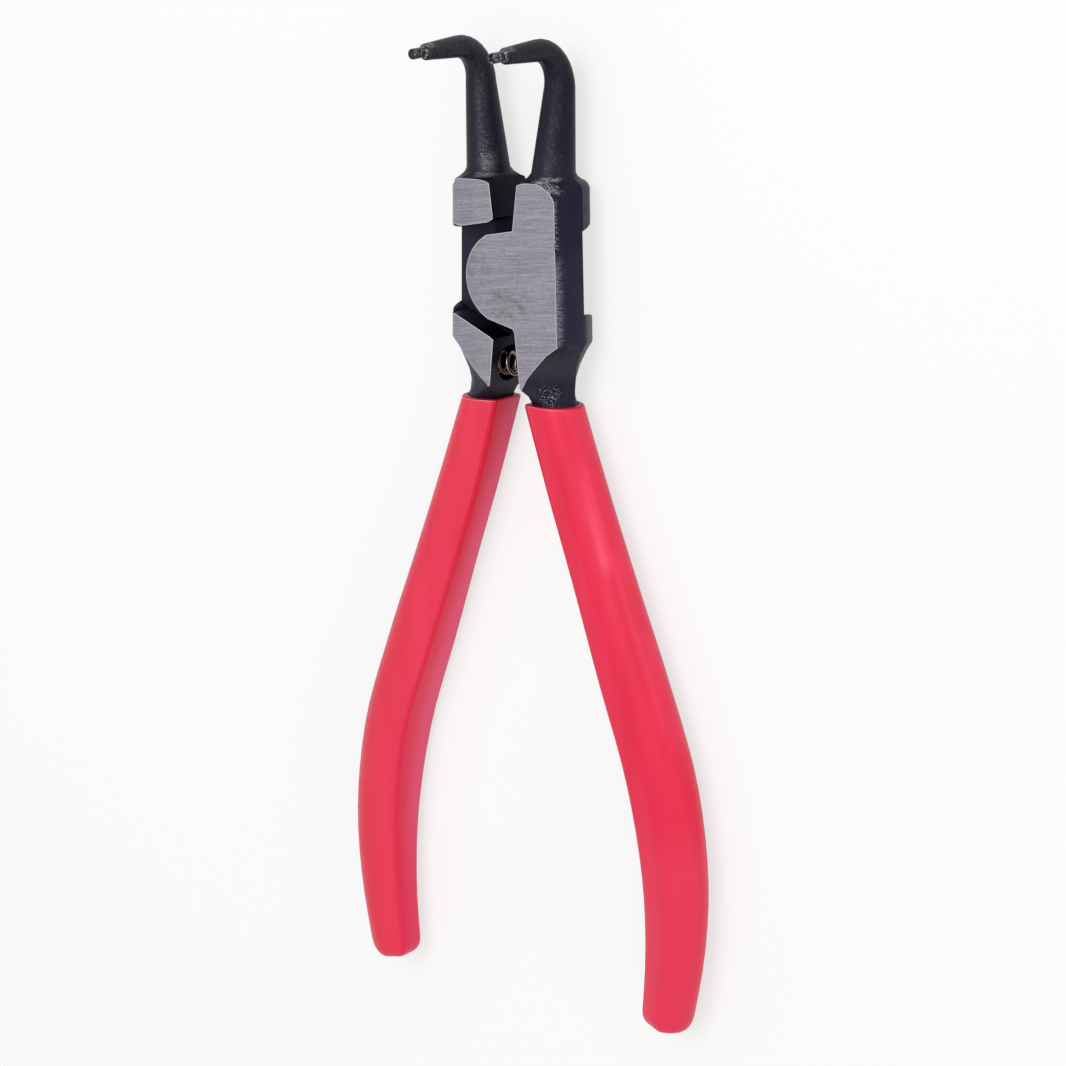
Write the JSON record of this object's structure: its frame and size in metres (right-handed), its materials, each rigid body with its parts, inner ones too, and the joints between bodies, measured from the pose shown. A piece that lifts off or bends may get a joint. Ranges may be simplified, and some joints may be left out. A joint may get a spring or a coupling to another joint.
{
  "type": "circlip pliers",
  "caption": "Hand pliers with bent tips that spread an outside retaining ring when the handles are squeezed.",
  "frame": {"origin": "where the pivot's axis leaves the back face of the joint, which is the plane the pliers lie on", "axes": "+Z along the pivot's axis, the way the bent tips point; +Y along the pliers towards the arms; +X across to the right lever"},
  "size_m": [0.0756, 0.1687, 0.0235],
  "materials": {
    "blackened_steel": "forged and blackened, with the joint's faces ground bright",
    "pin_steel": "hardened pin, satin",
    "ground_steel": "ground flush",
    "spring_wire": "oil-tempered wire, brown",
    "red_sleeve": "dipped soft plastic, satin"
  },
  "bodies": {
    "left_lever": {"left_half": "blackened_steel", "left_tip": "pin_steel", "left_grip": "red_sleeve", "pivot_rivet": "ground_steel", "return_spring": "spring_wire"},
    "right_lever": {"right_half": "blackened_steel", "right_tip": "pin_steel", "right_grip": "red_sleeve"}
  },
  "joints": [
    {"name": "squeeze", "type": "hinge", "parent": "left_lever", "child": "right_lever", "pos_m": [0, 0, 0.0051], "axis": [0, 0, -1], "range_deg": [-18, 14.9], "stiffness_Nm_per_rad": 1.15, "deforming": ["return_spring"]}
  ]
}
